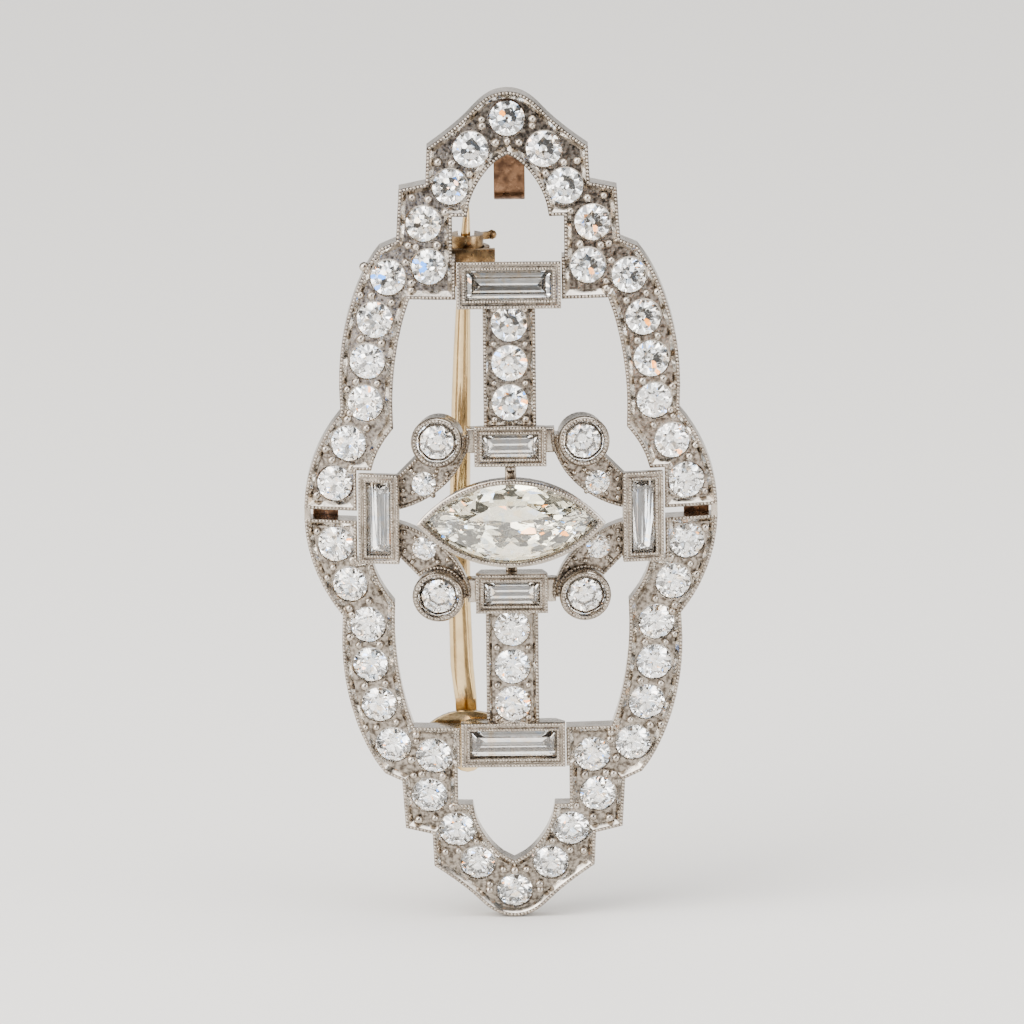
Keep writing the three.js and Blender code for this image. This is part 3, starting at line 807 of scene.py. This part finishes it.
def baguette(a, b, steps, sway):
    """Step cut, half length a and half width b in plan, girdle at y = 0.

    The sway, in degrees, turns the back steps of the two upright sides downwards.
    """
    rough = primitive(bpy.ops.mesh.primitive_cube_add, size=2, location=(0, 0.5, 0), scale=(a, 1, b))
    bpy.ops.object.mode_set(mode="EDIT")
    short = min(a, b)
    crown, pavilion = steps
    grind((0, -0.25, 0), 0, 0)
    for k in range(4):
        way = k * math.pi / 2
        reach = a if k % 2 == 0 else b
        for inset, height, slope in crown:
            here = reach - inset * short
            grind((here * math.cos(way), -height, here * math.sin(way)), way, slope)
        for (inset, height, slope), turn in zip(pavilion, sway):
            here = reach - inset * short
            aside = math.radians(turn) * (-1, 0, 1, 0)[k]
            grind((here * math.cos(way), height, here * math.sin(way)), way + aside, slope, crown=False)
    return polished(rough)


for end, sign in ENDS:
    set_box(f"{end}_large", LARGE_BOX, 0, sign * LARGE_BOX_Z, STEEP_STEPS)
    set_box(f"{end}_small", SMALL_BOX, 0, sign * SMALL_BOX_Z, EVEN_STEPS)
for (side, sign), sway in zip(SIDES, SIDE_SWAY):
    set_box(f"{side}_side", SIDE_BOX, sign * SIDE_BOX_X, 0, STEEP_STEPS, sway)


# ---------------------------------------------------------------- marquise centre
# The centre stone, a marquise of faint yellow, in a tall smooth bezel that narrows a little below
# its edge and stands on a narrower foot. The milgrained edge is rubbed over the girdle.
MARQUISE_HALF = (5.025, 2.335)
MARQUISE_WALL = (5.575, 2.665)
MARQUISE_FOOT = (4.9, 2.15)
MARQUISE_WAIST = (0.955, 0.91)
MARQUISE_PROUD, MARQUISE_RIM, MARQUISE_DEEP = 1.6, 1.35, 2.95
MARQUISE_LIP, MARQUISE_STEP, MARQUISE_TABLE = 0.15, 0.25, 0.62


def two_arcs(half_length, half_width, steps=20):
    """A marquise outline in plan, from its right-hand point round."""
    radius = (half_length**2 + half_width**2) / (2 * half_width)
    sweep = math.asin(half_length / radius)
    upper = arc((0, half_width - radius), radius, math.pi / 2 - sweep, math.pi / 2 + sweep, steps)
    return upper[:-1] + [(-x, -z) for x, z in upper[:-1]]


def marquise_cut():
    """Girdle at y = 0. Each facet stands square to the outline at the point it is ground from."""
    half_length, half_width = MARQUISE_HALF
    rough = new_sheet("marquise_rough", two_arcs(half_length, half_width, 24), y=2.2)
    raise_plate(3.0)
    radius = (half_length**2 + half_width**2) / (2 * half_width)
    grind((0, -MARQUISE_TABLE, 0), 0, 0)
    grind((0, 1.92, 0), 0, 0, crown=False)
    rows = (
        (True, 0.0, 0.03, 40, (7, 21, 35, 47)), (True, 0.28, 0.26, 31, (0, 14, 28, 42)),
        (False, 0.0, 0.03, 45, (6, 18, 30, 42)), (False, 0.5, 0.53, 41, (0, 13, 27, 40, 48)),
        (False, 1.25, 1.17, 38, (9, 24, 42)),
    )
    for crown, inset, height, slope, row in rows:
        for degrees in row:
            for mirror_x in (-1, 1) if degrees else (1,):
                for mirror_z in (-1, 1):
                    lean = math.radians(degrees)
                    out = Vector((math.sin(lean) * mirror_x, math.cos(lean) * mirror_z))
                    x = (radius - inset) * out.x
                    z = (radius - inset) * out.y + (half_width - radius) * mirror_z
                    uneven = chance.uniform(-2.0, 2.0)
                    point = (x, -height if crown else height, z)
                    grind(point, math.atan2(out.y, out.x), slope + uneven, crown=crown)
    for reach in (-1, 1):
        grind((2.75 * reach, -MARQUISE_TABLE, 0), 0 if reach > 0 else math.pi, 17)
        grind((0, -MARQUISE_TABLE, 1.1 * reach), reach * math.pi / 2, 20)
        for turn in (-1, 1):
            way = math.atan2(reach, turn * 0.5)
            grind((1.7 * turn, -MARQUISE_TABLE, 0.72 * reach), way, 19)
    return polished(rough)


def marquise_bezel():
    centre = stand_on_dome(0, 0, MARQUISE_PROUD)
    piece = new_sheet("marquise_bezel_wall", two_arcs(*MARQUISE_WALL), y=MARQUISE_RIM - MARQUISE_STEP)
    resize_in_plan(*MARQUISE_WAIST)
    extrude(-(MARQUISE_RIM - MARQUISE_STEP - MARQUISE_LIP))
    resize_in_plan(1 / MARQUISE_WAIST[0], 1 / MARQUISE_WAIST[1])
    raise_plate(MARQUISE_LIP)
    pick_face(1)
    extrude(0.4)
    resize_in_plan(*(f / (w * t) for f, w, t in zip(MARQUISE_FOOT, MARQUISE_WALL, MARQUISE_WAIST)))
    extrude(MARQUISE_DEEP - MARQUISE_RIM - 0.15)
    pick_face(-1)
    inset_steps(((0.14, 0.06), (0.17, 0), (0.02, -0.6), (0.3, -0.5)))
    open_back(0.35)
    done_editing(piece)
    round_edges(piece, 0.03)
    smooth_sides(piece)
    darken_front(piece)
    piece.data.transform(centre)
    finish_piece(piece, PLATINUM, stands_for=["marquise_bezel"])
    rows = bead_path(two_arcs(*MARQUISE_WALL), 0.17, centre, -0.05, 0.19, 0.09)
    strew("marquise_millegrain", SMALL_BEAD, rows, PLATINUM)
    set_stone(
        "marquise_diamond_cut", marquise_cut(), (1, 1, 1), centre @ Matrix.Translation((0, 0.5, 0)),
        finish=TINTED_DIAMOND, wobble=0, stands_for=["marquise_diamond"],
    )


marquise_bezel()


# ---------------------------------------------------------------- links
# Two short bars that tie the marquise to the small boxes, each with one grain raised on it, and
# four thin plates that tie the small boxes to the leaves beside them.
def link_bar(end, sign):
    near, far = 2.2, 3.35
    outline = [(x, sign * z) for x, z in ((0.335, near), (0.335, far), (-0.335, far), (-0.335, near))]
    bar = new_sheet(f"{end}_link_bar", outline, y=-0.42)
    raise_plate(0.75)
    inset_steps(((0.12, 0.08),))
    done_editing(bar)
    round_edges(bar, 0.05)
    lay_on_dome(bar)
    smooth_sides(bar)
    finish_piece(bar, PLATINUM, stands_for=[f"{end}_link"])
    strew(f"{end}_link_grain", GRAIN, [(on_dome(0, sign * 2.93, -0.1), 0.3)], PLATINUM)


def bridge(end, up, side, across):
    """A thin plate that joins a small box to the leaf beside it."""
    corners = [(2.05, 3.8), (2.6, 3.8), (2.6, 5.25), (2.05, 5.25)]
    plate = new_sheet(f"{end}_{side}_bridge", [(across * x, up * z) for x, z in corners], y=-0.15)
    raise_plate(0.75)
    inset_steps(((0.08, 0.05),))
    done_editing(plate)
    round_edges(plate, 0.04)
    lay_on_dome(plate)
    smooth_sides(plate)
    finish_piece(plate, PLATINUM)


for end, up in ENDS:
    link_bar(end, up)
    for side, across in SIDES:
        bridge(end, up, side, across)


# ---------------------------------------------------------------- round bezels
# Four collets turned from platinum tube, a little narrower behind, with the edge milgrained and
# rubbed over the stone.
BEZEL_X, BEZEL_Z, BEZEL_OUTER, BEZEL_STONE = 4.36, 4.67, 1.53, 1.19
BEZEL_PROUD, BEZEL_DEEP = 0.9, 2.1


def turned(name, profile, axis, steps=32):
    """Turns a closed profile of (radius, along) points about the Y or Z axis."""
    mesh = bpy.data.meshes.new(name)
    spots = [(r, along, 0) if axis == "Y" else (r, 0, along) for r, along in profile]
    mesh.from_pydata(spots, [(i, (i + 1) % len(spots)) for i in range(len(spots))], [])
    piece = new_piece(name, mesh)
    pick(piece)
    bpy.ops.object.mode_set(mode="EDIT")
    bpy.ops.mesh.select_all(action="SELECT")
    turn_axis = (0, 1, 0) if axis == "Y" else (0, 0, 1)
    bpy.ops.mesh.spin(steps=steps, angle=2 * math.pi, center=(0, 0, 0), axis=turn_axis)
    bpy.ops.mesh.select_all(action="SELECT")
    bpy.ops.mesh.remove_doubles(threshold=1e-4)
    done_editing(piece)
    return piece


def round_bezel(name, x, z):
    place = stand_on_dome(x, z, BEZEL_PROUD)
    profile = [
        (1.48, 0.07), (1.42, 0.01), (1.23, 0.01), (1.21, 0.5), (0.8, 0.62), (0.78, BEZEL_DEEP - 0.05),
        (0.82, BEZEL_DEEP), (1.4, BEZEL_DEEP), (1.44, BEZEL_DEEP - 0.06), (BEZEL_OUTER - 0.1, 1.0),
        (BEZEL_OUTER, 0.3), (BEZEL_OUTER, 0.2),
    ]
    piece = turned(f"{name}_round_bezel_wall", profile, "Y")
    smooth_sides(piece, 35)
    darken_front(piece)
    piece.data.transform(place)
    finish_piece(piece, PLATINUM, stands_for=[f"{name}_round_bezel"])
    ring = [(1.32 * math.cos(a), 1.32 * math.sin(a)) for a in [2 * math.pi * k / 40 for k in range(40)]]
    strew(f"{name}_round_millegrain", SMALL_BEAD, bead_path(ring, 0.0, place, 0.015, 0.2, 0.092), PLATINUM)
    seat = place @ Matrix.Translation((0, 0.36, 0))
    set_stone(
        f"{name}_round_diamond_cut", ROUND_CUT, (BEZEL_STONE,) * 3, seat,
        stands_for=[f"{name}_round_diamond"],
    )


# ---------------------------------------------------------------- leaves
# Comma-shaped plates pierced from the same platinum, hugging a round bezel and running down to
# the side box, with milgrained edges and one small stone.
LEAF_FRONT, LEAF_THICK, LEAF_BED = 1.15, 1.0, 0.12
LEAF_STONE = (5.12, 1.95)
LEAF_RADIUS = 0.7
LEAF_CORNERS = ((6.3, 1.0), (6.35, 1.55), (6.3, 2.1), (5.85, 2.75), (4.35, 2.75), (3.75, 2.6), (3.25, 3.1))


def leaf_outline(across, up):
    inner = SIDE_BOX_X - SIDE_BOX["length"] / 2 + 0.1
    hug, band = BEZEL_OUTER - 0.04, BEZEL_OUTER + 0.41
    edge = [(inner, 2.35)] + arc((BEZEL_X, BEZEL_Z), hug, -0.75, -math.pi - 0.15, 20)
    edge += arc((BEZEL_X, BEZEL_Z), band, -math.pi - 0.15, -math.pi + 0.55, 6)
    edge += bezier(edge[-1], (3.1, 2.6), (4.3, 1.0), (inner, 0.38), 14)
    return [(across * x, up * z) for x, z in edge]


def leaf(name, across, up):
    outline = leaf_outline(across, up)
    piece = new_sheet(f"{name}_leaf_plate", clear_corners(outline, 0.25), y=LEAF_THICK - LEAF_FRONT)
    raise_plate(LEAF_THICK)
    inset_steps(((0.17, 0), (0.06, -LEAF_BED)))
    done_editing(piece)
    place = (across * LEAF_STONE[0], up * LEAF_STONE[1])
    bore_seats(piece, [place], radius=LEAF_RADIUS + 0.03, back=0.3, bed=LEAF_FRONT - LEAF_BED)
    finish_plate(piece, LEAF_FRONT, LEAF_FRONT - LEAF_BED)
    lay_on_dome(piece)
    smooth_sides(piece)
    finish_piece(piece, PLATINUM, stands_for=[f"{name}_leaf"])
    rim_beads(f"{name}_leaf_millegrain", outline, front=LEAF_FRONT, inset=0.085)
    seat = stand_on_dome(*place, LEAF_FRONT - PLATE - 0.16)
    set_stone(
        f"{name}_leaf_diamond_cut", ROUND_CUT, (LEAF_RADIUS,) * 3, seat,
        stands_for=[f"{name}_leaf_diamond"],
    )
    rest = [(across * x, up * z) for x, z in LEAF_CORNERS]
    around = [(place[0] + 0.84 * math.cos(a), place[1] + 0.84 * math.sin(a)) for a in (0.7, 2.3, 3.8, 5.4)]
    raise_grains(f"{name}_leaf_grains", around + rest, lift=0.27, size=0.16)


for end, up in ENDS:
    for side, across in SIDES:
        round_bezel(f"{end}_{side}", across * BEZEL_X, up * BEZEL_Z)
        leaf(f"{end}_{side}", across, up)


# ---------------------------------------------------------------- joint straps
# Red gold straps soldered behind the side slots, which hold the two halves of the frame
# together. Their corners are filed round.
RED_GOLD = metal("red_gold_aged", (0.27, 0.165, 0.105), (0.085, 0.05, 0.034), 0.85, 0.22, 0.45, 4, 0.6, 1.8)


def joint_strap(side, sign):
    strap = primitive(
        bpy.ops.mesh.primitive_cube_add, size=1, location=(sign * 10.95, 0.3, 0), scale=(1.5, 0.5, 3.2),
    )
    strap.name = f"{side}_joint_strap_soldered"
    bpy.ops.object.mode_set(mode="EDIT")
    for z in (-0.8, 0, 0.8):
        bpy.ops.mesh.select_all(action="SELECT")
        bpy.ops.mesh.bisect(plane_co=(0, 0, z), plane_no=(0, 0, 1))
    done_editing(strap)
    round_edges(strap, 0.12, 3, 60)
    lay_on_dome(strap)
    smooth_sides(strap)
    finish_piece(strap, RED_GOLD, stands_for=[f"{side}_joint_strap"])


for side, sign in SIDES:
    joint_strap(side, sign)


# ---------------------------------------------------------------- pin stem
# A drawn gold wire, filed to a point, with a flattened heel brazed to the knuckle it turns on.
# It springs a little to the side on its way to the catch.
YELLOW_GOLD = metal("yellow_gold_rubbed", (0.8, 0.62, 0.37), (0.5, 0.35, 0.19), 0.35, 0.12, 0.24, 5, 0.12)
# A darker copy of the yellow gold for the catch: painted shade for the shade it sits in behind the frame,
# with heavier patina in patches.
SHADED_PATINA_GOLD = metal("yellow_gold_patina_and_painted_shade", (0.44, 0.31, 0.18), (0.13, 0.085, 0.05), 0.85, 0.2, 0.4, 5, 0.4, 1.6)
PIN_X, PIN_Y, HINGE_Z, TIP_Z = -2.72, 0.55, -14.1, 18.0
KNUCKLE_RADIUS, KNUCKLE_WIDTH, EYE_RADIUS = 0.78, 1.3, 0.35
FLATTENED = 12


def spring(z):
    along = (z - HINGE_Z) / (TIP_Z - HINGE_Z)
    bend = 5.5 * max(0, along - 0.06) * (1 - along) ** 6
    return 0.32 * along - 1.5 * along * (1 - along) - bend


def combine(piece, other, how):
    fuse = piece.modifiers.new("fused", "BOOLEAN")
    fuse.operation, fuse.solver, fuse.object = how, "EXACT", other
    apply_modifiers(piece)
    bpy.data.objects.remove(other)


def cross_bar(name, radius, length):
    """A round bar along X through the hinge."""
    bar = primitive(
        bpy.ops.mesh.primitive_cylinder_add,
        vertices=24, radius=radius, depth=length, location=(0, 0, HINGE_Z), rotation=(0, math.pi / 2, 0),
    )
    bar.name = name
    return bar


def pin_stem():
    length = TIP_Z - HINGE_Z
    # Radius and distance from the hinge; the last two points close the profile along its axis.
    taper = [
        (0.5, 0), (0.53, 1), (0.55, 1.8), (0.6, 4), (0.61, 8), (0.61, 12), (0.6, 16), (0.57, 20),
        (0.51, 23), (0.45, 25), (0.39, 27), (0.34, 28.6), (0.29, 30), (0.22, 31), (0.13, 31.8),
        (0.05, 32.05), (0.0, length), (0, 16), (0, 0),
    ]
    stem = turned("pin_stem_wire", [(r, HINGE_Z + along) for r, along in taper], "Z", 20)
    bpy.ops.object.mode_set(mode="EDIT")
    bpy.ops.mesh.select_all(action="SELECT")
    bpy.ops.mesh.dissolve_degenerate(threshold=1e-4)
    bpy.ops.object.mode_set(mode="OBJECT")
    for vertex in stem.data.vertices:
        flat = max(0, 1 - (vertex.co.z - HINGE_Z) / FLATTENED)
        vertex.co.x *= 1 + 0.22 * flat
        vertex.co.y *= 1 - 0.2 * flat
    heel = primitive(
        bpy.ops.mesh.primitive_cube_add,
        size=1, location=(0, 0, HINGE_Z + 1.0), scale=(KNUCKLE_WIDTH, 0.82, 2.0),
    )
    bpy.ops.object.mode_set(mode="EDIT")
    shape = bmesh.from_edit_mesh(heel.data)
    for face in shape.faces:
        face.select_set(face.normal.z > 0.9)
    bmesh.update_edit_mesh(heel.data)
    bpy.ops.transform.resize(value=(0.9, 0.9, 1), center_override=(0, 0, HINGE_Z))
    done_editing(heel)
    knuckle = cross_bar("knuckle", KNUCKLE_RADIUS, KNUCKLE_WIDTH)
    combine(knuckle, heel, "UNION")
    combine(stem, knuckle, "UNION")
    combine(stem, cross_bar("eye", EYE_RADIUS, 3), "DIFFERENCE")
    for vertex in stem.data.vertices:
        vertex.co.x += PIN_X + spring(vertex.co.z)
        vertex.co.y += PIN_Y
    smooth_sides(stem, 38)
    finish_piece(stem, YELLOW_GOLD, body="pin", stands_for=["pin_stem"])


pin_stem()


# ---------------------------------------------------------------- hinge, catch and bail
# Gold fittings soldered behind the frame: a hinge with its rivet, a safety catch with a turning
# sleeve, and a red gold bail on a bar. Their edges are filed round and rubbed by wear.
FITTINGS = (
    ("hinge_plate", "yellow_gold", "setting", 0.07), ("hinge_rivet", "yellow_gold", "setting", 0.06),
    ("catch_shell", "yellow_gold", "setting", 0.06), ("catch_rotor", "yellow_gold", "catch_sleeve", 0.04),
    ("bail_bracket", "red_gold", "setting", 0.08), ("bail_pivot", "red_gold", "setting", 0.08),
    ("bail_ring", "red_gold", "bail", 0.07),
)


def filed_round(node, slot, body, width):
    """The same solid with its facets merged and its edges rounded."""
    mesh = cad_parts[node].data.copy()
    mesh.transform(Matrix.Scale(1000, 4))
    mesh.materials.clear()
    piece = new_piece(f"{node}_filed", mesh)
    pick(piece)
    bpy.ops.object.mode_set(mode="EDIT")
    bpy.ops.mesh.select_all(action="SELECT")
    bpy.ops.mesh.remove_doubles(threshold=0.002)
    bpy.ops.mesh.dissolve_limited(angle_limit=math.radians(1))
    done_editing(piece)
    round_edges(piece, width, 3, 35)
    smooth_sides(piece, 35)
    # The catch takes the darker copy of the yellow gold, which carries painted shade as well as heavier
    # patina.
    finish = RED_GOLD if slot == "red_gold" else SHADED_PATINA_GOLD if node.startswith("catch") else YELLOW_GOLD
    finish_piece(piece, finish, body=body, stands_for=[node])


for fitting in FITTINGS:
    filed_round(*fitting)


# ---------------------------------------------------------------- floor, light and camera
# A wide pale floor under the brooch, soft boxes above and beside it, small coloured lamps that
# give the stones their flashes, and a long lens looking slightly down at the front.
CAMERA_RAISED = math.radians(13)
CAMERA_AWAY = 1.344
AIM = Vector((0.00006, -0.002, -0.00024))
SPARK_PLACES = ((-0.12, 0.3), (0.3, 0.34), (-0.34, 0.02), (0.16, -0.01))
SPARK_SIZE, SPARK_BRIGHTNESS = (0.045, 0.045), 3.4


def studio_floor():
    bpy.ops.object.select_all(action="DESELECT")
    bpy.ops.mesh.primitive_plane_add(size=6, location=(0, 0, -0.02505))
    floor = bpy.context.object
    floor.name = "studio_floor"
    bpy.ops.object.mode_set(mode="EDIT")
    bpy.ops.mesh.select_all(action="SELECT")
    bpy.ops.mesh.subdivide(number_cuts=4)
    bpy.ops.object.mode_set(mode="OBJECT")
    paper = bpy.data.materials.new("pale_paper")
    paper.use_nodes = True
    nodes, links = paper.node_tree.nodes, paper.node_tree.links
    shader = nodes["Principled BSDF"]
    fibre, bump = nodes.new("ShaderNodeTexNoise"), nodes.new("ShaderNodeBump")
    shader.inputs["Roughness"].default_value = 0.9
    shader.inputs["Base Color"].default_value = (0.76, 0.745, 0.72, 1)
    fibre.inputs["Scale"].default_value = 900
    bump.inputs["Strength"].default_value, bump.inputs["Distance"].default_value = 0.05, 0.0001
    links.new(nodes.new("ShaderNodeTexCoord").outputs["Object"], fibre.inputs["Vector"])
    links.new(fibre.outputs["Fac"], bump.inputs["Height"])
    links.new(bump.outputs["Normal"], shader.inputs["Normal"])
    floor.data.materials.append(paper)


studio_floor()


def soft_box(name, place, size, brightness, color=(1, 1, 1)):
    lamp = bpy.data.lights.new(name, "AREA")
    lamp.shape, lamp.size, lamp.size_y = "RECTANGLE", size[0], size[1]
    lamp.energy, lamp.color = brightness * math.pi * size[0] * size[1], color
    stand = new_piece(name, lamp)
    stand.location = place
    stand.rotation_mode = "QUATERNION"
    stand.rotation_quaternion = (-Vector(place)).to_track_quat("-Z", "Y")


soft_box("key_box", (-0.3, -0.25, 0.27), (0.4, 0.42), 4.2, (1, 0.975, 0.94))
soft_box("fill_box", (0.36, -0.28, 0.13), (0.3, 0.32), 2.6, (0.96, 0.98, 1))
soft_box("top_box", (0.04, -0.1, 0.48), (0.6, 0.3), 3.2)
soft_box("back_box", (0, 0.55, 0.19), (0.9, 0.3), 0.7)
soft_box("left_side_box", (-0.42, -0.06, 0.14), (0.3, 0.3), 1.6)
soft_box("right_side_box", (0.42, -0.06, 0.14), (0.3, 0.3), 1.6)
for k, (x, z) in enumerate(SPARK_PLACES):
    soft_box(f"amber_spark_{k}", (x, -0.42, z), SPARK_SIZE, SPARK_BRIGHTNESS, (1, 0.36, 0.05))
    soft_box(f"blue_spark_{k}", (-x, -0.36, z + 0.07), SPARK_SIZE, SPARK_BRIGHTNESS, (0.08, 0.34, 1))
soft_box("low_left_box", (-0.36, -0.3, 0.06), (0.24, 0.16), 2.2, (1, 0.98, 0.95))

world = bpy.data.worlds.new("studio_air")
world.use_nodes = True
air, wires = world.node_tree.nodes, world.node_tree.links
ray, either, shade = air.new("ShaderNodeLightPath"), air.new("ShaderNodeMath"), air.new("ShaderNodeMix")
either.operation = "MAXIMUM"
shade.data_type = "RGBA"
shade.inputs["A"].default_value = (0.14, 0.137, 0.134, 1)
shade.inputs["B"].default_value = (0.56, 0.55, 0.535, 1)
wires.new(ray.outputs["Is Camera Ray"], either.inputs[0])
wires.new(ray.outputs["Is Diffuse Ray"], either.inputs[1])
wires.new(either.outputs["Value"], shade.inputs["Factor"])
wires.new(shade.outputs["Result"], air["Background"].inputs["Color"])
bpy.context.scene.world = world
# Light crosses a cut stone many times before it leaves it.
bpy.context.scene.cycles.max_bounces = 24
bpy.context.scene.cycles.glossy_bounces = 16
bpy.context.scene.cycles.transmission_bounces = 24
bpy.context.scene.view_settings.look = "AgX - Medium High Contrast"
bpy.context.scene.view_settings.exposure = 0.15

lens = bpy.data.cameras.new("long_lens")
lens.lens, lens.sensor_width = 800, 36
lens.clip_start, lens.clip_end = 0.01, 10
camera = bpy.data.objects.new("camera", lens)
away = Vector((0, -math.cos(CAMERA_RAISED), math.sin(CAMERA_RAISED)))
camera.location = AIM + away * CAMERA_AWAY
camera.rotation_mode = "QUATERNION"
level = (-away).to_track_quat("-Z", "Y")
camera.rotation_quaternion = level @ Matrix.Rotation(math.radians(-0.6), 3, "Z").to_quaternion()
bpy.context.collection.objects.link(camera)
bpy.context.scene.camera = camera
